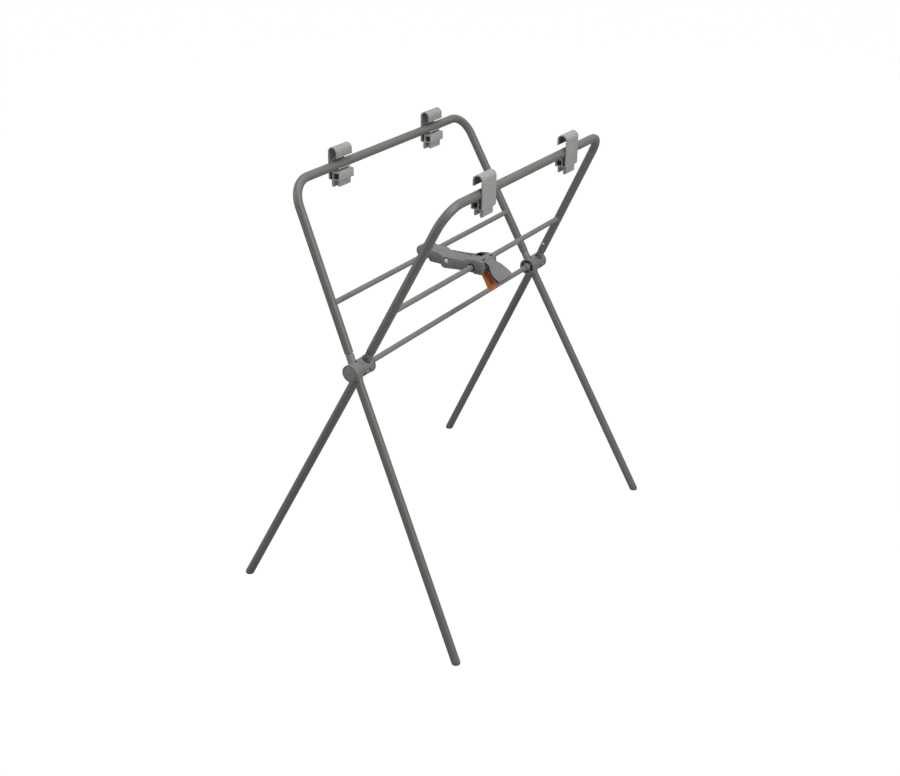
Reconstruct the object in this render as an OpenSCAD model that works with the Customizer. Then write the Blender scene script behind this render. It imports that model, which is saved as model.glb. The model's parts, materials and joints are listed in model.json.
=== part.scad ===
// Folding stand for a baby bath: two crossed tube frames on one pivot rod, tied by a knee brace
// between their crossbars. Sizes in mm. X along the rim bars, Z up, floor at Z = 0.
// Frame A has its rim bar at +Y. Frame B is the same frame turned half a turn about Z.

/* [Stand] */
// Height of the rim bars' axes above the floor
rail_height = 935.4; // [800:1:1050]
// Height of the pivot rod's axis above the floor
pivot_height = 577.3; // [480:0.5:680]
// Distance of each rim bar's axis from the middle plane
rail_half_span = 177.1; // [140:0.5:230]
// Distance of each foot's axis from the middle plane, at the floor
foot_half_span = 292.4; // [230:0.5:360]
// Width of a frame between its leg axes, at the rim bar
rail_width = 654.3; // [560:0.5:760]
// Width of a frame between its leg axes, at the pivot
pivot_width = 735; // [640:0.5:840]
// Width of a frame between its leg axes, at the floor
foot_width = 865.2; // [760:0.5:980]
// Sideways offset between the two frames
frame_offset = 28.9; // [28:0.1:34]

/* [Tubes] */
// Outside diameter of the leg and rim tubes
tube_d = 19; // [17:0.1:21]
// Wall of the leg and rim tubes
tube_wall = 1.2; // [1:0.05:1.6]
// Bend radius of the rim bar's corners, on the tube's axis
bend_r = 56; // [45:0.5:75]
// Outside diameter of the crossbars and of the pivot rod
bar_d = 12; // [11:0.1:13]
// Wall of the crossbars
bar_wall = 1.2; // [0.8:0.05:1.6]
// Distance from the pivot to a crossbar, along the leg
bar_distance = 143.8; // [130:0.2:160]
// Overlap of each straight run with its bend
bend_lap = 1.5; // [1:0.1:3]
// Swelling of the tube at that overlap
bend_swell = 0.1; // [0.05:0.01:0.2]

/* [Hubs] */
// Radius of a hub's drum
hub_r = 18.6; // [17.5:0.1:20]
// Reach of an outer hub beyond its leg's axis
hub_outer_reach = 18.6; // [17:0.1:21]
// Reach of an inner hub beyond its leg's axis
hub_inner_reach = 17.2; // [15:0.1:21]
// Gap between the two hubs of a hinge
hub_gap = 0.6; // [0.4:0.1:1.2]
// Reach of an outer hub from its leg's axis to the hinge's gap
hub_mate = 8.7; // [8.4:0.1:14]
// Wall round an open hub end
hub_wall = 2.6; // [2:0.1:3.2]
// Depth of the open end of an inner hub
hub_open_depth = 9; // [6:0.5:11]
// Distance from the pivot to the lower end of an upper leg
upper_leg_start = 38.5; // [34:0.5:46]
// Length of the hub's spigot inside the upper leg
spigot_grip = 34; // [28:0.5:40]
// Distance from the pivot to the upper end of a lower leg
lower_leg_start = 12.5; // [12:0.1:15]
// Reach of an inner hub's collar along the rod, beyond the open end
collar_reach = 11; // [7:0.5:14]
// Distance of the collar's screw from the open end
screw_reach = 4.4; // [4:0.2:6]
// Radius of the boss on a hub's drum
boss_r = 6.5; // [5:0.1:8]
// Slope of the line from the pivot to that boss, below level
boss_lean = 18; // [0:1:35]
// Gap between a hub's neck and the upper leg's lower end
neck_gap = 1.8; // [1:0.1:3]
// Radial clearance of turning fits
running_fit = 0.06; // [0.02:0.01:0.1]

/* [Snap buttons] */
// Distance of a snap button above the upper leg's lower end
button_rise = 25; // [12:0.5:30]
// Diameter of a snap button
button_d = 6; // [5:0.1:7]
// How far a snap button stands out of the tube
button_out = 2.4; // [2:0.1:3]

/* [Feet] */
// Height of a foot's head below the leg tube, along the leg
foot_head = 9; // [7:0.5:12]
// Length of a foot's plug inside the leg tube
foot_plug = 26; // [20:0.5:40]
// Wall of a foot's hollow plug
foot_wall = 2; // [1.5:0.1:3]

/* [Rim clips] */
// Distance of each clip's middle from the middle of the stand
clip_place = 176; // [150:0.5:200]
// Width of a clip along the bar
clip_width = 54; // [46:0.5:66]
// How far the saddle stays short of each end of the clip
saddle_inset = 6; // [3:0.5:10]
// Width of the clamp box along the bar
box_width = 51; // [46:0.5:56]
// Width of the leaves below the clamp box
leaf_width = 40; // [30:0.5:44]
// Wall of a clip
clip_wall = 2.5; // [2:0.1:3]
// Width of the hook between its outside faces
hook_width = 23; // [21:0.1:26]
// Height of the hook's bend axis above the bar's axis
hook_height = 29.2; // [26:0.2:36]
// Depth of the outer wall below the bar's axis
clip_drop = 31.4; // [29:0.2:36]
// Length of the tab below the outer wall
tab_length = 12; // [8:0.2:14]
// Distance of the tab from the clip's end nearest the hub cap
tab_in = 15; // [4:0.5:16]
// Distance of the tab from the clip's other end
tab_out = 4.5; // [2:0.5:10]

/* [Knee brace] */
// Place of the brace's middle along the crossbars
brace_place = -6; // [-9:0.5:4]
// Width of the arm on crossbar A
arm_width = 42; // [36:0.5:44]
// Clearance between the arm and each cheek of the housing
arm_clearance = 0.7; // [0.5:0.1:1.2]
// Thickness of the housing's cheeks
cheek = 3; // [2.4:0.1:3.4]
// Width of the housing at the release end
housing_width = 60; // [56:0.5:66]
// Diameter of the knee pin
knee_pin_d = 7; // [6:0.1:8]
// Place of the knee pin, from the middle plane towards crossbar A
knee_place = 3; // [-2:0.5:4]
// Width of the release lever
lever_width = 42; // [36:0.5:46]
// Outside diameter of the locking sleeve on crossbar B
sleeve_d = 17; // [16:0.1:18]
// Radius of the open mouths round the crossbars
mouth_r = 9.4; // [9:0.1:10]
// Depth of the locking notch in the sleeve
notch_depth = 2; // [1.5:0.1:2.2]
// Diameter of the stop rivets beside the brace
rivet_d = 3.2; // [2.4:0.1:4]
// Lean of the stop rivets from straight up
rivet_lean = 30; // [0:1:45]

/* [Hidden] */
$fn = 64;
eps = 0.01;
rivet_r = rivet_d / 2;
tube_r = tube_d / 2;
bore_r = tube_r - tube_wall;
bar_r = bar_d / 2;
lean_up = atan(rail_half_span / (rail_height - pivot_height));
lean_low = atan(foot_half_span / pivot_height);
neck_r = bore_r + 0.5;
up_len = sqrt(pow(rail_half_span, 2) + pow(rail_height - pivot_height, 2));
low_len = sqrt(pow(foot_half_span, 2) + pow(pivot_height, 2));
splay_up = atan((pivot_width - rail_width) / 2 / up_len);
splay_low = atan((foot_width - pivot_width) / 2 / low_len);
leg_up_len = up_len / cos(splay_up);
leg_low_len = low_len / cos(splay_low);
turn = 90 - splay_up;
tangent = bend_r * tan(turn / 2);
bar_half = pivot_width / 2 - bar_distance * tan(splay_up);
bar_y = bar_distance * sin(lean_up);
bar_z = pivot_height + bar_distance * cos(lean_up);
inner_face = frame_offset - hub_mate - hub_gap;
spigot_top = upper_leg_start + spigot_grip;
button_at = upper_leg_start + button_rise;
rod_half = pivot_width / 2 + frame_offset / 2 + hub_outer_reach - 4.6;
cheek_in = arm_width / 2 + arm_clearance;
cheek_out = cheek_in + cheek;
house_half = housing_width / 2;
lever_half = lever_width / 2;
rivet_place = house_half + 3;

// ---- placing ----------------------------------------------------------------------------
// Frame coordinates: the pivot's middle at the origin, Z straight up.
module frame_a() { translate([-frame_offset / 2, 0, pivot_height]) children(); }
module frame_b() { rotate([0, 0, 180]) frame_a() children(); }
// Upper leg on side s (-1 near, +1 far): Z runs up the leg from the pivot.
module upper_leg(s) {
  translate([s * pivot_width / 2, 0, 0]) rotate([-lean_up, 0, 0]) rotate([0, -s * splay_up, 0])
    children();
}
// Lower leg on side s: Z runs up the leg towards the pivot, which is at the origin.
module lower_leg(s) {
  translate([s * pivot_width / 2, 0, 0]) rotate([-lean_low, 0, 0]) rotate([0, -s * splay_low, 0])
    children();
}
module along_x(l, r) { rotate([0, 90, 0]) cylinder(h = l, r = r); }
module tube(l, r, ri) {
  difference() {
    cylinder(h = l, r = r);
    translate([0, 0, -1]) cylinder(h = l + 2, r = ri);
  }
}

// ---- tubes ------------------------------------------------------------------------------
module button_hole(s, extra) {
  translate([0, 0, button_at]) rotate([0, -s * 90, 0]) cylinder(h = tube_r + 4, d = button_d + extra);
}
// The short swellings overlap each straight run with its bend.
module rim_solid(r, over) {
  for (s = [-1, 1]) {
    union() {
      upper_leg(s) translate([0, 0, upper_leg_start - over])
        cylinder(h = leg_up_len - tangent - upper_leg_start + over, r = r);
      upper_leg(s) translate([0, 0, leg_up_len - tangent - bend_lap])
        cylinder(h = 2 * bend_lap, r = r + bend_swell);
    }
    upper_leg(s) translate([-s * bend_r, 0, leg_up_len - tangent]) rotate([90, 0, 0])
      rotate([0, 0, s > 0 ? 0 : 180 - turn]) rotate_extrude(angle = turn)
        translate([bend_r, 0]) circle(r = r);
  }
  rotate([-lean_up, 0, 0]) translate([0, 0, up_len]) union() {
    translate([-(rail_width / 2 - tangent), 0, 0]) along_x(rail_width - 2 * tangent, r);
    for (s = [-1, 1]) translate([s * (rail_width / 2 - tangent) - bend_lap, 0, 0])
      along_x(2 * bend_lap, r + bend_swell);
  }
}
module rim_tube() {
  difference() {
    rim_solid(tube_r, 0);
    rim_solid(bore_r, 2);
    for (s = [-1, 1]) upper_leg(s) button_hole(s, 0.3);
    rotate([-lean_up, 0, 0]) translate([-bar_half, 0, bar_distance]) along_x(2 * bar_half, bar_r);
  }
}
module crossbar(side) {
  difference() {
    rotate([-lean_up, 0, 0]) difference() {
      translate([-bar_half, 0, bar_distance]) along_x(2 * bar_half, bar_r);
      translate([-bar_half - 1, 0, bar_distance]) along_x(2 * bar_half + 2, bar_r - bar_wall);
      for (s = [-1, 1]) translate([s * pivot_width / 2, 0, 0]) rotate([0, -s * splay_up, 0])
        cylinder(h = 2 * bar_distance, r = bore_r);
    }
    for (k = [-1, 1])
      translate([side * brace_place + frame_offset / 2 + k * rivet_place, bar_y, bar_z - pivot_height])
        rotate([rivet_lean, 0, 0]) cylinder(h = 2 * bar_r, r = rivet_r);
  }
}
module leg(s) {
  lower_leg(s) translate([0, 0, -leg_low_len + foot_head])
    tube(leg_low_len - foot_head - lower_leg_start, tube_r, bore_r);
}
// Round head, flush with the tube and cut level with the floor, on a hollow plug.
module foot(s) {
  difference() {
    lower_leg(s) translate([0, 0, -leg_low_len]) rotate_extrude() difference() {
      union() {
        translate([0, 3]) square([tube_r, foot_head - 3]);
        translate([0, foot_head - 1]) square([bore_r, foot_plug + 1]);
        intersection() {
          translate([0, 3]) circle(r = tube_r);
          translate([0, -tube_r]) square([tube_r, tube_r + 4]);
        }
      }
      translate([0, foot_head - 2]) square([bore_r - foot_wall, foot_plug + 3]);
    }
    translate([-pivot_width, -pivot_width, -pivot_height - 40]) cube([2 * pivot_width, 2 * pivot_width, 40]);
  }
}

// ---- hubs -------------------------------------------------------------------------------
// One hub about its leg's axis. It spans reach on the -X side and face on the +X side, where the
// other frame's hub turns against it.
module hub_body(s, reach, face, open_end) {
  difference() {
    union() {
      difference() {
        translate([s * pivot_width / 2 - reach, 0, 0]) along_x(reach + face, hub_r);
        // dip round the boss
        boss(s, face + 1, face - 22, boss_r + 1.1);
      }
      upper_leg(s) cylinder(h = upper_leg_start - neck_gap, r = neck_r);
      upper_leg(s) cylinder(h = spigot_top, r = bore_r - 1);
      upper_leg(s) translate([0, 0, upper_leg_start + 0.4]) cylinder(h = spigot_grip - 0.4, r = bore_r);
      lower_leg(s) translate([0, 0, -hub_r - 3]) cylinder(h = 12, r = tube_r + 1.5);
      boss(s, face - 1.6, face - 20, boss_r);
      if (open_end) translate([s * pivot_width / 2 - reach, 0, 0]) along_x(2.4, hub_r + 1);
    }
    // moat at the foot of the neck
    upper_leg(s) difference() {
      translate([0, 0, hub_r - 7]) cylinder(h = 7.6, r = neck_r + 0.4);
      cylinder(h = 2 * hub_r, r = neck_r - 1.6);
      translate([-hub_r - 1.5, -hub_r, 0]) cube([hub_r, 2 * hub_r, 2 * hub_r]);
    }
    // sockets and bores
    lower_leg(s) translate([0, 0, -hub_r - 20]) cylinder(h = hub_r + 20 - lower_leg_start, r = tube_r);
    upper_leg(s) translate([0, 0, hub_r - 1]) cylinder(h = spigot_top, r = bore_r - 2.2);
    upper_leg(s) button_hole(s, 0.3);
    // room for the other hub's drum
    translate([s * pivot_width / 2 + face, 0, 0]) along_x(3 * hub_r, hub_r + 0.5);
    children();
    if (open_end) translate([s * pivot_width / 2 - reach - 1, 0, 0]) difference() {
      along_x(hub_open_depth + 1, hub_r - hub_wall);
      along_x(hub_open_depth + 1, bar_r + 2.8);
      for (a = [50 : 90 : 320]) rotate([a, 0, 0])
        translate([0, 0, -0.9]) cube([hub_open_depth + 1, hub_r, 1.8]);
    }
    else translate([s * pivot_width / 2 - reach - 1, 0, 0]) {
      along_x(3, hub_r - 1.3);
      along_x(5.6, bar_r + 2);
    }
  }
}
// Boss from x = from (blunt) to x = to (round), about the leg's axis.
module boss(s, from, to, r) {
  translate([s * pivot_width / 2, 0, 0]) rotate([-boss_lean, 0, 0]) translate([0, hub_r - 4.6, 0]) {
    translate([to + r, 0, 0]) along_x(from - to - r, r);
    translate([to + r, 0, 0]) sphere(r = r);
  }
}
module rod_bore(s, fit) {
  translate([s * pivot_width / 2 - hub_outer_reach - 2, 0, 0])
    along_x(hub_outer_reach + inner_face + 4, bar_r + fit);
}
// Place of the screw that stands on the inner hub's collar, Z outwards.
module screw_at() {
  translate([pivot_width / 2 - hub_inner_reach - screw_reach, 0, 0]) rotate([45, 0, 0]) children();
}
module hub_outer(fit) { hub_body(-1, hub_outer_reach, hub_mate, false) rod_bore(-1, fit); }
module hub_inner(fit) {
  difference() {
    union() {
      hub_body(1, hub_inner_reach, inner_face, true) rod_bore(1, fit);
      // collar that guides the rod, standing out of the open end
      translate([pivot_width / 2 - hub_inner_reach - collar_reach, 0, 0]) difference() {
        along_x(collar_reach + 5, bar_r + 2.5);
        translate([-1, 0, 0]) along_x(collar_reach + 7, bar_r + fit);
        translate([-1, 0, 0]) along_x(2.2, bar_r + 1);
      }
    }
    screw_at() cylinder(h = 2 * bar_r, r = 1.4);
    screw_at() translate([0, 0, bar_r + 1.8]) cylinder(h = 4, r = 2.7);
  }
}
module hub_cap() {
  translate([-pivot_width / 2 - hub_outer_reach, 0, 0]) {
    translate([-0.5, 0, 0]) along_x(2.5, hub_r - 2.5);
    translate([1.2, 0, 0]) along_x(0.8, hub_r - 1.3);
    translate([2, 0, 0]) difference() {
      along_x(2.4, bar_r + 2);
      translate([-1, 0, 0]) along_x(5, bar_r);
    }
  }
}
module hub_screw() {
  screw_at() {
    translate([0, 0, bar_r + 0.1]) cylinder(h = 1.7 + eps, r = 1.4);
    translate([0, 0, bar_r + 1.8]) cylinder(h = 1.6, r1 = 2.4, r2 = 1.9);
  }
}

// ---- snap buttons -----------------------------------------------------------------------
module button(s) {
  upper_leg(s) translate([0, 0, button_at]) rotate([0, -s * 90, 0]) {
    translate([0, 0, bore_r - 3]) cylinder(h = tube_r - bore_r + 3 + button_out - 1, d = button_d);
    translate([0, 0, tube_r + button_out - 1 - eps]) cylinder(h = 1, d1 = button_d, d2 = button_d - 1.6);
  }
}
module button_spring(s) {
  upper_leg(s) translate([0, 0, button_at]) rotate([0, -s * 90, 0]) {
    translate([-14, -2, bore_r - 3.6]) cube([18, 4, 0.6]);
    translate([-14, 2, 0]) rotate([90, 0, 0]) difference() {
      cylinder(h = 4, r = bore_r - 3);
      translate([0, 0, -1]) cylinder(h = 6, r = bore_r - 3.6);
      translate([0, -10, -1]) cube([10, 20, 6]);
    }
    translate([-14, -2, -bore_r + 3]) cube([18, 4, 0.6]);
  }
}

// ---- rim clips --------------------------------------------------------------------------
module bar_frame() { translate([0, rail_half_span, rail_height - pivot_height]) children(); }
// Section in (outwards, up) about the bar's axis, run along X.
module along_bar(w) { rotate([90, 0, 90]) linear_extrude(w) children(); }
module ring(ro, ri) { difference() { circle(r = ro); circle(r = ri); } }
module clip_section() {
  o = tube_r + running_fit;
  wall_out = o + clip_wall;
  hook_c = wall_out - hook_width / 2;
  translate([o, -clip_drop]) square([clip_wall, clip_drop + hook_height]);
  translate([hook_c, hook_height]) intersection() {
    ring(hook_width / 2, hook_width / 2 - clip_wall);
    translate([-hook_width, 0]) square(2 * hook_width);
  }
  translate([hook_c - hook_width / 2, hook_height - 11.5]) square([clip_wall, 11.5]);
}
// Saddle under the bar, ending in a bead on the inner side.
module saddle_section() {
  o = tube_r + running_fit;
  mid = o + clip_wall / 2;
  end = 0.63 * tube_r;
  difference() {
    circle(r = o + clip_wall);
    circle(r = o);
    translate([-hook_width, -end]) square(2 * hook_width);
  }
  translate([-sqrt(mid * mid - end * end), -end]) circle(r = clip_wall / 2);
}
module clip_tab_section() {
  translate([tube_r + running_fit, -clip_drop - tab_length]) square([clip_wall, tab_length + 1]);
}
module rim_clip(x) {
  frame_x = x - (-frame_offset / 2);
  translate([frame_x, 0, 0]) bar_frame() {
    difference() {
      union() {
        translate([-clip_width / 2, 0, 0]) along_bar(clip_width) clip_section();
        translate([-clip_width / 2 + saddle_inset, 0, 0]) along_bar(clip_width - 2 * saddle_inset)
          saddle_section();
      }
      // rounded lower corners of the wall
      for (s = [-1, 1]) translate([s * clip_width / 2, tube_r - 2, -clip_drop]) rotate([-90, 0, 0])
        difference() {
          translate([-5, -5, 0]) cube([10, 10, 8]);
          translate([-s * 5, -5, -1]) cylinder(h = 10, r = 5);
          translate([-s * 10 - 5, -5, -1]) cube([10, 11, 10]);
          translate([-6, -15, -1]) cube([12, 10, 10]);
        }
    }
    translate([-clip_width / 2 + tab_in, 0, 0]) along_bar(clip_width - tab_in - tab_out) clip_tab_section();
  }
}
module clamp_section() {
  o = tube_r + running_fit;
  r = o + clip_wall + 0.15;
  // inner panel, floor and the web under the saddle
  translate([-r - 3.2, -30.5]) square([2.4, 18.5]);
  translate([-r - 3.2, -30.5]) square([r + 3.2 + o - 0.15, 2]);
  difference() {
    translate([-r - 3.2, -15.5]) square([r + 3.2, 3.5]);
    circle(r = r);
  }
  translate([0.6, -29]) square([2.2, 29 - sqrt(pow(r + 0.3, 2) - 9)]);
  // two leaves below the floor
  translate([1.2 - r, -44.5]) square([4.4, 14.2]);
  translate([2.4, -44]) square([7, 13.7]);
  translate([5.9, -44]) circle(r = 3.5);
}
module clip_clamp(x) {
  frame_x = x - (-frame_offset / 2);
  translate([frame_x, 0, 0]) bar_frame() difference() {
    translate([-box_width / 2, 0, 0]) along_bar(box_width) clamp_section();
    // leaves are narrower than the box
    for (s = [-1, 1]) translate([s * (leaf_width / 2 + 10) - 10, -30, -62]) cube([20, 60, 31.4]);
    // windows between the end walls' ribs
    translate([-box_width / 2 + 12, -8.5, -26]) cube([box_width - 24, 8.4, 8]);
    // serrated inner leaf
    for (i = [-5 : 5]) translate([i * 3.4, -20, -47]) rotate([0, 45, 0]) cube([1.8, 20, 1.8]);
  }
}

// ---- brace ------------------------------------------------------------------------------
// Drawn in (Y, Z) about the line of the crossbars, then run along X.
module on_brace() { translate([brace_place, 0, bar_z]) children(); }
module prism(half) { translate([-half, 0, 0]) rotate([90, 0, 90]) linear_extrude(2 * half) children(); }
module rounded(r) { offset(r = r) offset(delta = -r) children(); }
module arm_section() {
  y = bar_y;
  difference() {
    union() {
      polygon([[15, -11.6], [y - 15.7, -10.6], [y - 9.6, -0.6], [y + 10, -0.6], [y + 8, 12], [y - 1, 16],
        [y - 20.7, 14.6], [28, 14], [15.6, 8.4], [-38, 8.4], [-33.5, 5.5], [-9, 4.5], [-9, -8]]);
      translate([y + 7.7, 9.2]) circle(r = 12.9);
      translate([knee_place, 0]) circle(r = 9.4);
    }
    translate([y, 0]) circle(r = mouth_r);
    translate([y - mouth_r, -20]) square([2 * mouth_r, 20]);
  }
}
module arm() {
  y = bar_y;
  on_brace() difference() {
    union() {
      prism(arm_width / 2) arm_section();
      prism(arm_width / 2 - 5) difference() {
        translate([y - 10.5, 0]) square([21, 12]);
        translate([y + 10, 12]) circle(r = 3);
      }
      prism(arm_width / 2 - 5) translate([y, 0]) circle(r = 9.2);
    }
    translate([-arm_width, y, 0]) along_x(2 * arm_width, bar_r + running_fit);
    translate([-arm_width, knee_place, 0]) along_x(2 * arm_width, knee_pin_d / 2);
    // the keeper closes the lower half of the journal
    translate([-arm_width, y - 9.6, -20]) cube([2 * arm_width, 19.2, 20 - 0.2]);
    // hollow underside
    prism(arm_width / 2 - 3.2) polygon([[14, -12.5], [y - 20.7, -11.5], [y - 17.7, -4],
      [y - 19.7, 9], [29, 9], [16, 3]]);
  }
}
module keeper() {
  y = bar_y;
  on_brace() difference() {
    prism(arm_width / 2 - 5) union() {
      intersection() {
        translate([y, 0]) circle(r = 9.2);
        translate([y - 12, -12]) square([24, 11.8]);
      }
    }
    translate([-arm_width, y, 0]) along_x(2 * arm_width, bar_r + running_fit);
  }
}
module knee() {
  on_brace() translate([-arm_width / 2, knee_place, 0]) along_x(arm_width, knee_pin_d / 2);
}
module rivets_knee() {
  on_brace() for (s = [-1, 1]) {
    translate([s > 0 ? cheek_in : -cheek_out, knee_place, 0]) along_x(cheek, knee_pin_d / 2);
    translate([s * cheek_out, knee_place, 0]) rotate([0, s * 90, 0]) rotate_extrude() intersection() {
      translate([0, -3.4]) circle(r = 5.9);
      square([6, 3]);
    }
  }
}
module stop_rivets(s) {
  on_brace() for (k = [-1, 1]) translate([k * rivet_place, s * bar_y, 0]) rotate([s * rivet_lean, 0, 0]) {
    translate([0, 0, bar_r - bar_wall - 0.6]) cylinder(h = bar_wall + 0.6 + eps, r = rivet_r);
    translate([0, 0, bar_r]) cylinder(h = 0.8, r1 = 2.3, r2 = 1.4);
  }
}
module sleeve() {
  on_brace() translate([0, -bar_y, 0]) difference() {
    translate([-house_half + 5, 0, 0]) along_x(2 * house_half - 10, sleeve_d / 2);
    translate([-house_half, 0, 0]) along_x(2 * house_half, bar_r + eps);
    translate([-8, -3.4, -sleeve_d / 2 - 1]) cube([16, 6.8, notch_depth + 1]);
  }
}
module housing_outline() {
  y = -bar_y;
  polygon([[17, 9], [-16, 10], [-42, 11.8], [y + 8, 18], [y - 6, 19.8], [y - 18, 18.8], [y - 28.4, 17.4],
    [y - 30.4, -2], [y - 26, -12], [y + 30, -12.8], [7, -17], [13, -15.8], [17, -11.2]]);
}
module housing_plan() {
  polygon([[-cheek_out, 30], [cheek_out, 30], [cheek_out, -20], [house_half, -bar_y - 10],
    [house_half, -bar_y - 40], [-house_half, -bar_y - 40], [-house_half, -bar_y - 10], [-cheek_out, -20]]);
}
module housing() {
  y = -bar_y;
  on_brace() difference() {
    intersection() {
      prism(house_half) housing_outline();
      translate([0, 0, -40]) linear_extrude(80) housing_plan();
    }
    // channel for the arm, with a cross rib left in it
    difference() {
      translate([-cheek_in, -41.6, -40]) cube([2 * cheek_in, 80, 80]);
      translate([-cheek_in - 1, -34, -6]) cube([2 * cheek_in + 2, 4, 8.5]);
    }
    translate([-housing_width, knee_place, 0]) along_x(2 * housing_width, knee_pin_d / 2);
    // journal on the sleeve and open mouths in the side walls
    translate([-house_half + 5 - 0.3, y, 0]) along_x(2 * house_half - 9.4, sleeve_d / 2 + running_fit);
    for (s = [-1, 1]) translate([s > 0 ? house_half - 4.7 : -house_half - 1, y, 0]) {
      along_x(5.7, mouth_r);
      translate([0, -bar_r - 0.4, -20]) cube([5.7, bar_d + 0.8, 20]);
    }
    // pocket that shows the sleeve from above
    translate([0, y - 9, 3]) cube([24, 20, 20]);
    // slots in the crosshead
    for (x = [-13, 19]) translate([x - 6.5, y - 24, 8]) cube([13, 5, 12]);
    // underside: room for the lever and its arm
    translate([-lever_half - 0.6, y - 34, -20]) cube([2 * lever_half + 1.2, 40, 9.2]);
    translate([-lever_half - 0.6, y - 34, -20]) cube([2 * lever_half + 1.2, 19.8, 20]);
    translate([-9, y - 20, -20]) cube([18, 25, 12.6]);
    translate([-house_half + 4, y - 20.3, -8]) along_x(2 * house_half - 8, 2.5);
  }
}
module lever_section() {
  y = -bar_y;
  difference() {
    union() {
      translate([y - 20.3, -8]) circle(r = 5.4);
      polygon([[y - 17, -12], [y - 23, -16], [y - 31, -29], [y - 34.5, -36], [y - 38, -41.6],
        [y - 42, -44.4], [y - 46, -44.8], [y - 48.4, -42.6], [y - 48, -38.5], [y - 43, -30.5],
        [y - 37, -23.5], [y - 31, -18.5], [y - 27, -14], [y - 22, -3.5]]);
    }
    translate([y - 20.3, -8]) circle(r = 2.5 + running_fit);
  }
}
module lever() {
  y = -bar_y;
  on_brace() {
    prism(lever_half) lever_section();
    difference() {
      prism(7.6) polygon([[y - 20, -13.4], [y + 2.6, -13.4], [y + 2.6, -sleeve_d / 2 - 0.15],
        [y - 2.6, -sleeve_d / 2 - 0.15], [y - 3.4, -sleeve_d / 2 - 1.2], [y - 20, -sleeve_d / 2 - 1.2]]);
      translate([-10, y - 20.3, -8]) along_x(20, 4);
    }
  }
}
module pin_lever() {
  on_brace() translate([-house_half + 4, -bar_y - 20.3, -8]) along_x(2 * house_half - 8, 2.5);
}
module spring_lever() {
  y = -bar_y;
  on_brace() prism(4) polygon([[y - 29.9, 0], [y - 18.6, 0], [y - 18.6, -0.7], [y - 29.1, -0.7],
    [y - 28.2, -11.9], [y - 28.9, -12.4]]);
}
// Grip: a curved skin beyond the crosshead, narrow at its neck and flared at its end.
module grip_curve(t, lift) {
  y = -bar_y;
  top = [[-26, 16.2], [-31, 14.8], [-36, 12.4], [-40.5, 8.4], [-45, 2.4], [-50, -2.6], [-58, -8.6],
    [-67, -14.4], [-73, -18.4]];
  translate([0, lift]) polygon(concat([for (p = top) [y + p[0], p[1]]],
    [for (i = [8 : -1 : 0]) [y + top[i][0] + 0.55 * t, top[i][1] - 0.85 * t]]));
}
module grip_plan(inset) {
  y = -bar_y;
  edge = [[-19.5, -26], [-18.5, -34], [-18.5, -40], [-22.5, -45], [-27.5, -53], [-29.5, -62], [-29.5, -76],
    [28.5, -76], [30, -62], [29, -54], [25.5, -46], [16, -40.5], [12.5, -36], [12.5, -26]];
  polygon([for (p = edge) [p[0] + (p[0] > 0 ? -inset : inset), y + p[1]]]);
}
module grip() {
  on_brace() difference() {
    intersection() {
      prism(house_half + 5) grip_curve(2.6, 0.5);
      translate([0, 0, -housing_width]) linear_extrude(2 * housing_width) grip_plan(0);
    }
    prism(house_half) housing_outline();
  }
}
module plate_grip() {
  on_brace() difference() {
    intersection() {
      prism(house_half + 5) grip_curve(1.6, -7);
      translate([0, 0, -housing_width]) linear_extrude(2 * housing_width) grip_plan(0.6);
    }
    prism(house_half) housing_outline();
  }
}

module rim_tube_a() { color("dimgray") frame_a() rim_tube(); }
module crossbar_a() { color("gray") frame_a() crossbar(1); }
module lower_leg_a_near() { color("dimgray") frame_a() leg(-1); }
module lower_leg_a_far() { color("dimgray") frame_a() leg(1); }
module foot_a_near() { color("darkslategray") frame_a() foot(-1); }
module foot_a_far() { color("darkslategray") frame_a() foot(1); }
module hub_a_outer() { color("slategray") frame_a() hub_outer(0); }
module hub_a_inner() { color("slategray") frame_a() hub_inner(0); }
module hub_cap_a() { color("gray") frame_a() hub_cap(); }
module hub_screw_a() { color("silver") frame_a() hub_screw(); }
module pivot_rod() { color("gray") translate([-rod_half, 0, pivot_height]) along_x(2 * rod_half, bar_r); }
module button_a_near() { color("silver") frame_a() button(-1); }
module button_a_far() { color("silver") frame_a() button(1); }
module button_spring_a_near() { color("silver") frame_a() button_spring(-1); }
module button_spring_a_far() { color("silver") frame_a() button_spring(1); }
module rim_clip_a_near() { color("gainsboro") frame_a() rim_clip(-clip_place); }
module rim_clip_a_far() { color("gainsboro") frame_a() rim_clip(clip_place); }
module clip_clamp_a_near() { color("lightgray") frame_a() clip_clamp(-clip_place); }
module clip_clamp_a_far() { color("lightgray") frame_a() clip_clamp(clip_place); }
module stop_rivets_a() { color("silver") stop_rivets(1); }
module rim_tube_b() { color("dimgray") frame_b() rim_tube(); }
module crossbar_b() { color("gray") frame_b() crossbar(-1); }
module lower_leg_b_near() { color("dimgray") frame_b() leg(1); }
module lower_leg_b_far() { color("dimgray") frame_b() leg(-1); }
module foot_b_near() { color("darkslategray") frame_b() foot(1); }
module foot_b_far() { color("darkslategray") frame_b() foot(-1); }
module hub_b_outer() { color("slategray") frame_b() hub_outer(running_fit); }
module hub_b_inner() { color("slategray") frame_b() hub_inner(running_fit); }
module hub_cap_b() { color("gray") frame_b() hub_cap(); }
module hub_screw_b() { color("silver") frame_b() hub_screw(); }
module button_b_near() { color("silver") frame_b() button(1); }
module button_b_far() { color("silver") frame_b() button(-1); }
module button_spring_b_near() { color("silver") frame_b() button_spring(1); }
module button_spring_b_far() { color("silver") frame_b() button_spring(-1); }
module rim_clip_b_near() { color("gainsboro") frame_b() rim_clip(clip_place); }
module rim_clip_b_far() { color("gainsboro") frame_b() rim_clip(-clip_place); }
module clip_clamp_b_near() { color("lightgray") frame_b() clip_clamp(clip_place); }
module clip_clamp_b_far() { color("lightgray") frame_b() clip_clamp(-clip_place); }
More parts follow.
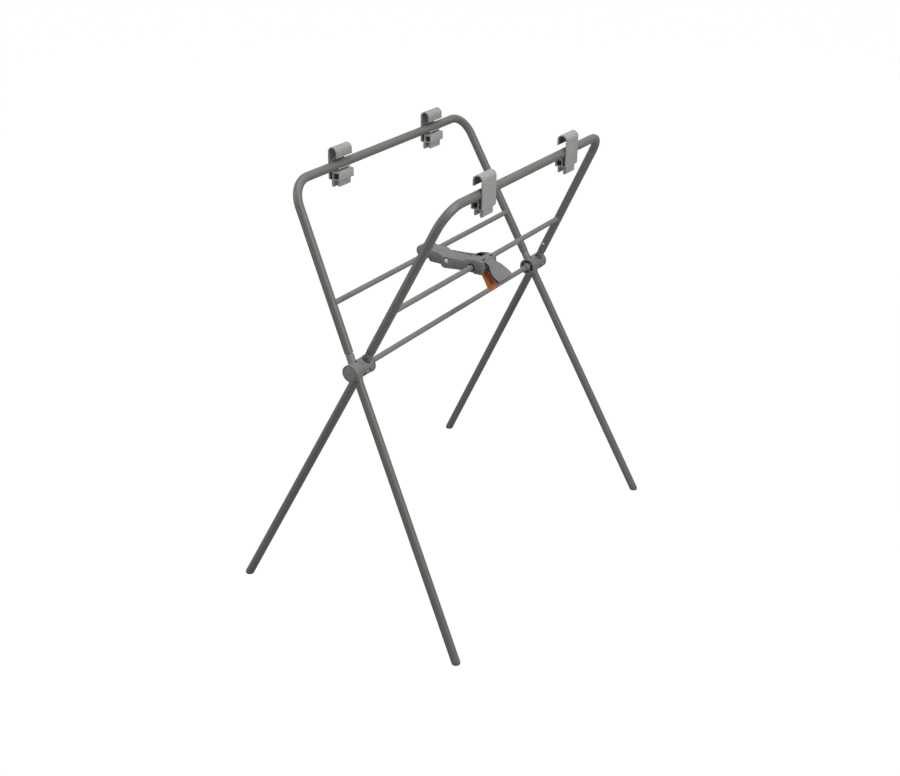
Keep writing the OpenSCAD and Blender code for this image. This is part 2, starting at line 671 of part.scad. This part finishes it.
module stop_rivets_b() { color("silver") stop_rivets(-1); }
module lock_sleeve() { color("black") sleeve(); }
module brace_arm() { color("gray") arm(); }
module arm_keeper() { color("dimgray") keeper(); }
module knee_pin() { color("silver") knee(); }
module brace_housing() { color("gray") housing(); }
module knee_rivets() { color("silver") rivets_knee(); }
module grip_shell() { color("lightslategray") grip(); }
module grip_plate() { color("dimgray") plate_grip(); }
module release_lever() { color("darkorange") lever(); }
module lever_pin() { color("silver") pin_lever(); }
module lever_spring() { color("silver") spring_lever(); }

rim_tube_a();
crossbar_a();
lower_leg_a_near();
lower_leg_a_far();
foot_a_near();
foot_a_far();
hub_a_outer();
hub_a_inner();
hub_cap_a();
hub_screw_a();
pivot_rod();
button_a_near();
button_a_far();
button_spring_a_near();
button_spring_a_far();
rim_clip_a_near();
rim_clip_a_far();
clip_clamp_a_near();
clip_clamp_a_far();
stop_rivets_a();
rim_tube_b();
crossbar_b();
lower_leg_b_near();
lower_leg_b_far();
foot_b_near();
foot_b_far();
hub_b_outer();
hub_b_inner();
hub_cap_b();
hub_screw_b();
button_b_near();
button_b_far();
button_spring_b_near();
button_spring_b_far();
rim_clip_b_near();
rim_clip_b_far();
clip_clamp_b_near();
clip_clamp_b_far();
stop_rivets_b();
lock_sleeve();
brace_arm();
arm_keeper();
knee_pin();
brace_housing();
knee_rivets();
grip_shell();
grip_plate();
release_lever();
lever_pin();
lever_spring();
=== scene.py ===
# Folding stand for a baby bath: two crossed tube frames on one pivot rod, held open by a knee
# brace with a squeeze release, and four hooked clips that carry the bath. Sizes in metres.
import json
import math

import bpy
from mathutils import Matrix, Vector

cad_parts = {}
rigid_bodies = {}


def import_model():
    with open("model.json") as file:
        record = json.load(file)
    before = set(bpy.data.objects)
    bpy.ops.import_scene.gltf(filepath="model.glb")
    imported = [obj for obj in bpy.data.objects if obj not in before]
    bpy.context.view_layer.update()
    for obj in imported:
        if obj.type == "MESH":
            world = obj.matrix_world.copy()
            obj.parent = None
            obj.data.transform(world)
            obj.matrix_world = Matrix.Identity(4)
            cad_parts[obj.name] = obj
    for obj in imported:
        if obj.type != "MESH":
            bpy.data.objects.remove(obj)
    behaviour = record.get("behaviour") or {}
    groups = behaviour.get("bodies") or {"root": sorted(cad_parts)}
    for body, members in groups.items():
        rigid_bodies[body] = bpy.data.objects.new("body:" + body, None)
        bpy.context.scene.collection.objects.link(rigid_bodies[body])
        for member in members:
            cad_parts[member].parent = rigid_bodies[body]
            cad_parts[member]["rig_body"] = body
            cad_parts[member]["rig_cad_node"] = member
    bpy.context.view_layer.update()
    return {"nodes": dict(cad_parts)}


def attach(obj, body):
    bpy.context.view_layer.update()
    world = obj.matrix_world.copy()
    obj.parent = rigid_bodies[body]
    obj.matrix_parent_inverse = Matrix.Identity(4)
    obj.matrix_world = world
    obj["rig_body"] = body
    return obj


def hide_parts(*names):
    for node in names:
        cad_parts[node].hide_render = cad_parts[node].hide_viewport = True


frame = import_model()
nodes = frame["nodes"]

# Camera
# Three-quarter view from beyond the near end, a little above the rim bars, found from the
# straight tubes of the photographed stand.
picture_width, focal_length = 900, 1338.5  # both in pixels
camera_data = bpy.data.cameras.new("camera")
camera_data.sensor_width = 36.0
camera_data.lens = focal_length / picture_width * 36.0
camera_data.clip_end = 30
camera = bpy.data.objects.new("camera", camera_data)
bpy.context.scene.collection.objects.link(camera)
azimuth, elevation, roll = math.radians(-57.893), math.radians(25.973), math.radians(0.493)
outward = math.cos(elevation)
back = Vector((math.sin(azimuth) * outward, -math.cos(azimuth) * outward, math.sin(elevation)))
right = Vector((math.cos(azimuth), math.sin(azimuth), 0))
above = back.cross(right)
level_right = right * math.cos(roll) + above * math.sin(roll)
level_above = above * math.cos(roll) - right * math.sin(roll)
turned = Matrix((level_right, level_above, back)).transposed().to_4x4()
camera_place = (-2.3803, -1.4840, 1.7492)
camera.matrix_world = Matrix.Translation(camera_place) @ turned
bpy.context.scene.camera = camera
bpy.context.scene.view_settings.view_transform = "Standard"

# Studio floor
# A sweep under the stand. To the camera most of it is a white glow, which keeps the background
# clean; to the light it is a grey paper, which throws little of it back up.


def add_node(tree, kind, inputs=None, **settings):
    """A new node; each of its inputs takes a value, or a link from another node's socket."""
    made = tree.nodes.new(kind)
    for name, value in settings.items():
        setattr(made, name, value)
    for name, value in (inputs or {}).items():
        if isinstance(value, bpy.types.NodeSocket):
            tree.links.new(value, made.inputs[name])
        else:
            made.inputs[name].default_value = value
    return made


white = (1, 1, 1, 1)
bpy.ops.object.select_all(action="DESELECT")
bpy.ops.mesh.primitive_plane_add(size=160, location=(0, 0, -0.0005))
floor = bpy.context.object
floor.name = "floor"
floor_look = bpy.data.materials.new("floor")
floor_look.use_nodes = True
floor_tree = floor_look.node_tree
floor_tree.nodes.clear()
floor_seen = add_node(floor_tree, "ShaderNodeLightPath").outputs["Is Camera Ray"]
floor_share = add_node(floor_tree, "ShaderNodeMath", {0: floor_seen, 1: 0.9}, operation="MULTIPLY")
floor_paper = add_node(floor_tree, "ShaderNodeBsdfDiffuse", {"Color": (0.4, 0.4, 0.4, 1)})
floor_glow = add_node(floor_tree, "ShaderNodeEmission", {"Color": white, "Strength": 1.09})
floor_mix = add_node(floor_tree, "ShaderNodeMixShader",
                     {"Fac": floor_share.outputs[0], 1: floor_paper.outputs[0], 2: floor_glow.outputs[0]})
add_node(floor_tree, "ShaderNodeOutputMaterial", {"Surface": floor_mix.outputs[0]})
floor.data.materials.append(floor_look)

# Studio walls
# White to the camera. To the light they are a fill that is dim on the camera's side and
# brighter behind the stand.
world = bpy.data.worlds.new("studio")
bpy.context.scene.world = world
world.use_nodes = True
world_tree = world.node_tree
world_tree.nodes.clear()
world_way = add_node(world_tree, "ShaderNodeTexCoord").outputs["Generated"]
world_facing = add_node(world_tree, "ShaderNodeVectorMath", {0: world_way, 1: (-0.80, -0.50, -0.10)},
                        operation="DOT_PRODUCT")
world_level = add_node(world_tree, "ShaderNodeMapRange",
                       {"Value": world_facing.outputs["Value"], "From Min": -0.7, "From Max": 0.75,
                        "To Min": 0.72, "To Max": 0.16})
world_fill = add_node(world_tree, "ShaderNodeBackground",
                      {"Color": white, "Strength": world_level.outputs["Result"]})
world_white = add_node(world_tree, "ShaderNodeBackground", {"Color": white})
world_seen = add_node(world_tree, "ShaderNodeLightPath").outputs["Is Camera Ray"]
world_mix = add_node(world_tree, "ShaderNodeMixShader",
                     {"Fac": world_seen, 1: world_fill.outputs[0], 2: world_white.outputs[0]})
add_node(world_tree, "ShaderNodeOutputWorld", {"Surface": world_mix.outputs[0]})

# Lamps
# A wide soft lamp overhead and a tall strip on either side, as for a catalogue picture, all
# turned to the middle of the stand.
lamp_aim = Vector((0, 0, 0.6))
for lamp_name, place, size, watts in (
        ("overhead", (-0.3, -0.4, 3.2), (2.6, 2.6), 50),
        ("right strip", (-0.35, -2.7, 2.2), (0.55, 2.2), 58),
        ("left strip", (-2.2, 2.2, 1.5), (0.5, 2.2), 32)):
    lamp_data = bpy.data.lights.new(lamp_name, "AREA")
    lamp_data.shape = "RECTANGLE"
    lamp_data.size, lamp_data.size_y = size
    lamp_data.energy = watts
    lamp = bpy.data.objects.new(lamp_name, lamp_data)
    lamp.location = place
    lamp.rotation_euler = (lamp_aim - Vector(place)).to_track_quat("-Z", "Y").to_euler()
    bpy.context.scene.collection.objects.link(lamp)

# Bent rim tubes and lower legs
# Steel tube, 19 mm outside, powder coated in a warm dark grey. The coat has a fine orange peel,
# pale specks, and wide clouds where it is thicker and darker.


class Reading:
    """A socket that can be added to, taken off or multiplied; each sum adds a Math node."""

    def __init__(self, tree, socket):
        self.tree, self.socket = tree, socket

    def sum_with(self, operation, *values):
        inputs = {place: getattr(value, "socket", value) for place, value in enumerate(values)}
        made = add_node(self.tree, "ShaderNodeMath", inputs, operation=operation)
        return Reading(self.tree, made.outputs[0])

    def __add__(self, other):
        return self.sum_with("ADD", self, other)

    def __radd__(self, other):
        return self.sum_with("ADD", other, self)

    def __rsub__(self, other):
        return self.sum_with("SUBTRACT", other, self)

    def __mul__(self, other):
        return self.sum_with("MULTIPLY", self, other)


class Finish:
    """A material under construction, read on the object's own coordinates."""

    def __init__(self, name, metallic=0.0):
        self.material = bpy.data.materials.new(name)
        self.material.use_nodes = True
        self.tree = self.material.node_tree
        self.shader = self.tree.nodes["Principled BSDF"]
        self.shader.inputs["Metallic"].default_value = metallic
        self.place = self.node("ShaderNodeTexCoord", {}, "Object")

    def node(self, kind, inputs, output=0, **settings):
        inputs = {name: getattr(value, "socket", value) for name, value in inputs.items()}
        return Reading(self.tree, add_node(self.tree, kind, inputs, **settings).outputs[output])

    def noise(self, scale, detail=2.0, roughness=0.5):
        return self.node("ShaderNodeTexNoise", {"Vector": self.place, "Scale": scale, "Detail": detail,
                                                "Roughness": roughness}, "Fac")

    def within(self, axis, middle, half):
        """1 where the coordinate lies no further than half from middle, else 0."""
        along = self.node("ShaderNodeSeparateXYZ", {"Vector": self.place}, axis)
        return self.node("ShaderNodeMath", {0: along, 1: middle, 2: half}, operation="COMPARE")

    def blend(self, amount, first, second):
        return self.node("ShaderNodeMix", {0: amount, 6: first, 7: second}, 2, data_type="RGBA")

    def bump(self, height, strength, distance):
        return self.node("ShaderNodeBump", {"Height": height, "Strength": strength,
                                            "Distance": distance}, "Normal")

    def feed(self, colour, roughness, normal):
        for name, value in (("Base Color", colour), ("Roughness", roughness), ("Normal", normal)):
            self.tree.links.new(value.socket, self.shader.inputs[name])
        return self.material


def shade(colour, factor):
    return (*(part * factor for part in colour), 1)


def powder_coat(name, colour, peel):
    finish = Finish(name)
    clouds = finish.noise(7, 3)
    body = finish.blend(clouds, shade(colour, 0.9), shade(colour, 1.12))
    specks = finish.node("ShaderNodeValToRGB", {"Fac": finish.noise(1400, 2)})
    first_stop, last_stop = specks.socket.node.color_ramp.elements
    first_stop.position, last_stop.position = 0.66, 0.74
    speckled = finish.blend(specks * 0.18, body, shade(colour, 1.9))
    return finish.feed(speckled, 0.4 + clouds * 0.1, finish.bump(finish.noise(620, 2), peel, 0.00008))


def coat(names, material):
    for name in names:
        nodes[name].data.materials.clear()
        nodes[name].data.materials.append(material)


coat(("rim_tube_a", "rim_tube_b", "lower_leg_a_near", "lower_leg_a_far", "lower_leg_b_near",
      "lower_leg_b_far"), powder_coat("tube powder coat", (0.118, 0.113, 0.104), 0.35))

# Crossbars and pivot rod
# Thinner 12 mm bars in the same coat, a touch lighter, welded between the upper legs; the rod
# passes through all four hubs.
bar_coat = powder_coat("bar powder coat", (0.15, 0.145, 0.137), 0.3)
coat(("crossbar_a", "crossbar_b", "pivot_rod"), bar_coat)

# Weld beads
# Each crossbar butts against its legs and carries a thin fillet of weld all round, sprayed over
# with the bars' coat. A bead is a short disc cut to the leg's round and eased at its edges.


def cut(piece, tool, operation, name):
    bpy.context.view_layer.objects.active = piece
    boolean = piece.modifiers.new(name, "BOOLEAN")
    boolean.operation = operation
    boolean.solver = "EXACT"
    boolean.object = tool
    bpy.ops.object.modifier_apply(modifier=name)
    bpy.data.objects.remove(tool)


def ease(piece, width, segments, angle, smooth):
    """Rounds the edges sharper than angle, and shades the rest smooth, both in degrees."""
    edge = piece.modifiers.new("eased", "BEVEL")
    edge.limit_method = "ANGLE"
    edge.angle_limit = math.radians(angle)
    edge.width = width
    edge.segments = segments
    bpy.ops.object.modifier_apply(modifier="eased")
    bpy.ops.object.shade_smooth_by_angle(angle=math.radians(smooth))


def belongs(piece, body):
    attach(piece, body)


rim_reach, rim_rise, leg_spread = 0.1771, 0.3581, 0.04035  # from the pivot to the rim bar
leg_lean = math.atan(rim_reach / rim_rise)
leg_splay = math.atan(leg_spread / math.hypot(rim_reach, rim_rise))
bar_half, frame_shift, bar_y, bar_z = 0.352976, 0.01445, 0.063747, 0.706198
for frame_name, way in (("frame_a", 1), ("frame_b", -1)):
    for side in (-1, 1):
        crossing = Vector((way * (side * bar_half - frame_shift), way * bar_y, bar_z))
        leg_way = Vector((-way * side * math.sin(leg_splay),
                          way * math.cos(leg_splay) * math.sin(leg_lean),
                          math.cos(leg_splay) * math.cos(leg_lean)))
        bpy.ops.object.select_all(action="DESELECT")
        bpy.ops.mesh.primitive_cylinder_add(vertices=64, radius=0.0107, depth=0.04, location=crossing)
        round_leg = bpy.context.object
        round_leg.rotation_mode = "QUATERNION"
        round_leg.rotation_quaternion = leg_way.to_track_quat("Z", "Y")
        bpy.ops.object.select_all(action="DESELECT")
        bpy.ops.mesh.primitive_cylinder_add(vertices=56, radius=0.0073, depth=0.006,
                                            location=crossing - Vector((way * side * 0.0097, 0, 0)),
                                            rotation=(0, math.pi / 2, 0))
        bead = bpy.context.object
        bead.name = "weld_" + frame_name + ("_far" if way * side > 0 else "_near")
        cut(bead, round_leg, "INTERSECT", "follow the leg")
        ease(bead, 0.0007, 3, 30, 40)
        bpy.ops.object.transform_apply(location=True, rotation=True, scale=True)
        bead.data.materials.append(bar_coat)
        belongs(bead, frame_name)

# Hubs
# Injection moulded in dark grey with an eroded, slightly matt skin and softened mould edges.


def moulded(name, colour, grain, depth, rough, blackened=None):
    finish = Finish(name)
    skin = finish.noise(grain, 3, 0.6)
    body = finish.blend(finish.noise(16, 4), shade(colour, 0.92), shade(colour, 1.1))
    # Where a blackened mask is given, the surfaces it covers are painted near black (0.014). This is
    # painted shade for hollows and gaps in shadow, not the plastic's own colour.
    if blackened is not None:
        body = finish.blend(blackened(finish), body, (0.014, 0.014, 0.014, 1))
    return finish.feed(body, rough - 0.06 + skin * 0.12, finish.bump(skin, 0.4, depth))


def softened(node, name, width, material, segments=2, angle=35, smooth=32):
    """A copy of a CAD node with its mould edges rounded, which stands for that node."""
    bpy.ops.object.select_all(action="DESELECT")
    piece = nodes[node].copy()
    piece.data = nodes[node].data.copy()
    piece.name = name
    piece.parent = None
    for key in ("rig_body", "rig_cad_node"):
        if key in piece:
            del piece[key]
    bpy.context.scene.collection.objects.link(piece)
    bpy.context.view_layer.objects.active = piece
    piece.select_set(True)
    bpy.ops.object.mode_set(mode="EDIT")
    bpy.ops.mesh.select_mode(type="FACE")
    bpy.ops.mesh.select_all(action="SELECT")
    bpy.ops.mesh.remove_doubles(threshold=0.000002)
    bpy.ops.mesh.customdata_custom_splitnormals_clear()
    bpy.ops.mesh.dissolve_limited(angle_limit=math.radians(0.5))
    bpy.ops.object.mode_set(mode="OBJECT")
    ease(piece, width, segments, angle, smooth)
    piece.data.materials.clear()
    piece.data.materials.append(material)
    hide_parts(node)
    return piece


hub_plastic = moulded("hub plastic", (0.148, 0.148, 0.141), 900, 0.00008, 0.5)
for letter in ("a", "b"):
    for place in ("outer", "inner"):
        hub = softened("hub_" + letter + "_" + place, "hub_skin_" + letter + "_" + place, 0.0007,
                       hub_plastic, angle=40)
        belongs(hub, "frame_" + letter)

# Hub discs
# Greenish grey discs that close the outer hubs, sunk in a narrow ring.
disc_plastic = moulded("hub disc plastic", (0.18, 0.183, 0.16), 900, 0.00008, 0.42)
for letter in ("a", "b"):
    disc = softened("hub_cap_" + letter, "hub_disc_skin_" + letter, 0.0006, disc_plastic, segments=3)
    belongs(disc, "frame_" + letter)

# Feet
# Dark plugs with a coarser grain, whose round heads lie flush with the legs.
foot_plastic = moulded("foot plastic", (0.1, 0.097, 0.09), 500, 0.00015, 0.5)
for letter in ("a", "b"):
    for place in ("near", "far"):
        foot = softened("foot_" + letter + "_" + place, "foot_skin_" + letter + "_" + place, 0.0006,
                        foot_plastic)
        belongs(foot, "frame_" + letter)

# Button springs and brace pins
# Small zinc plated steel parts with a bright drawn surface; the button springs lie inside the
# tubes.


def plated(name, colour, rough):
    finish = Finish(name, metallic=1.0)
    patches = finish.noise(160, 3)
    return finish.feed(finish.blend(patches, shade(colour, 0.85), shade(colour, 1)),
                       rough + patches * 0.12, finish.bump(finish.noise(2600, 1), 0.15, 0.00004))


zinc = plated("zinc plated steel", (0.86, 0.86, 0.85), 0.3)
coat(("button_spring_a_near", "button_spring_a_far", "button_spring_b_near", "button_spring_b_far",
      "knee_pin", "lever_pin"), zinc)

# Lever spring
# A blackened leaf of spring steel between the lever and the housing.
coat(("lever_spring",), plated("blackened spring steel", (0.05, 0.05, 0.052), 0.36))

# Snap buttons and rivets
# Domed zinc plated heads: the buttons in the upper legs, the rivets beside the brace and on the
# knee.


def steel_head(name, body, width):
    belongs(softened(name, name + "_skin", width, zinc, segments=3, smooth=60), body)


for side in ("a_near", "a_far", "b_near", "b_far"):
    steel_head("button_" + side, "button_" + side + "_body", 0.0009)
steel_head("stop_rivets_a", "frame_a", 0.0003)
steel_head("stop_rivets_b", "frame_b", 0.0003)
steel_head("knee_rivets", "housing", 0.0002)

# Hub screws
# One in the collar of each inner hub, tilted 45 degrees from upright, with a cross recess sunk
# in its head.
recess_wide, recess_long, recess_deep = 0.0008, 0.0034, 0.0024
for letter, way in (("a", 1), ("b", -1)):
    screw = softened("hub_screw_" + letter, "hub_screw_skin_" + letter, 0.0003, zinc)
    for across in ((recess_wide, recess_long), (recess_long, recess_wide)):
        bpy.ops.object.select_all(action="DESELECT")
        bpy.ops.mesh.primitive_cube_add(size=1, location=(way * 0.33145, way * -0.006647, 0.583947),
                                        rotation=(way * math.radians(45), 0, 0),
                                        scale=(*across, recess_deep))
        cut(screw, bpy.context.object, "DIFFERENCE", "cross recess")
    belongs(screw, "frame_" + letter)

# Rim clips
# Hooked clips moulded in mid grey with softened edges, each with a clamp box under the bar in a
# slightly lighter grey.
clip_plastic = moulded("clip plastic", (0.255, 0.26, 0.248), 1100, 0.00005, 0.45)
clamp_plastic = moulded("clamp plastic", (0.3, 0.305, 0.29), 1100, 0.00005, 0.42)
for side in ("a_near", "a_far", "b_near", "b_far"):
    clip = softened("rim_clip_" + side, "clip_" + side + "_skin", 0.0006, clip_plastic)
    belongs(clip, "clip_" + side)
    clamp = softened("clip_clamp_" + side, "clamp_" + side + "_skin", 0.0004, clamp_plastic)
    belongs(clamp, "clip_" + side)

# Brace arm and keeper
# The link on the rear crossbar, of matt grey glass filled nylon with rounded mould edges, and
# the small piece that closes its eye.
brace_grey = (0.145, 0.145, 0.142)
brace_plastic = moulded("brace plastic", brace_grey, 1000, 0.00007, 0.46)
belongs(softened("brace_arm", "arm_skin", 0.0009, brace_plastic), "arm")
belongs(softened("arm_keeper", "keeper_skin", 0.0004, brace_plastic), "arm")

# Brace housing
# The link on the front crossbar, of the same nylon. The insides of the two slots and the pocket in its
# top
# are painted near black: painted shade for their depth.


# Mask of the painted shade inside the two slots and the pocket of the housing.
def painted_recess_shade(finish):
    slots = finish.within("Y", -0.08525, 0.0027) * finish.within("X", -0.006, 0.027)
    pocket = finish.within("Y", -0.06275, 0.0102) * finish.within("X", 0.006, 0.0122)
    return (slots + pocket) * finish.within("Z", 0.7157, 0.0075)


housing_plastic = moulded("housing plastic", brace_grey, 1000, 0.00007, 0.46, painted_recess_shade)
belongs(softened("brace_housing", "housing_skin", 0.0008, housing_plastic), "housing")

# Locking sleeve
# A black sleeve on the front crossbar, seen in the housing's mouths and its pocket.
sleeve_plastic = moulded("sleeve plastic", (0.02, 0.02, 0.02), 1200, 0.00004, 0.3)
belongs(softened("lock_sleeve", "sleeve_skin", 0.0003, sleeve_plastic), "frame_b")

# Grip shell and inner plate
# A curved grip skin over a thinner plate, both grey; the plate's side edges are painted black as painted
# shade in the gap under the skin.
grip_plastic = moulded("grip plastic", (0.145, 0.145, 0.145), 1000, 0.00006, 0.45)
belongs(softened("grip_shell", "grip_skin", 0.0006, grip_plastic), "housing")


# Mask of the painted shade on the plate's side edges.
def painted_edge_shade(finish):
    return 1 - finish.within("X", -0.006, 0.032)


inner_plastic = moulded("grip inner plastic", (0.14, 0.14, 0.14), 1000, 0.00006, 0.45, painted_edge_shade)
belongs(softened("grip_plate", "grip_plate_skin", 0.0004, inner_plastic), "housing")

# Release lever
# The orange squeeze lever under the grip.
orange_plastic = moulded("orange plastic", (0.6, 0.17, 0.025), 1100, 0.00005, 0.38)
belongs(softened("release_lever", "lever_skin", 0.0009, orange_plastic), "lever")
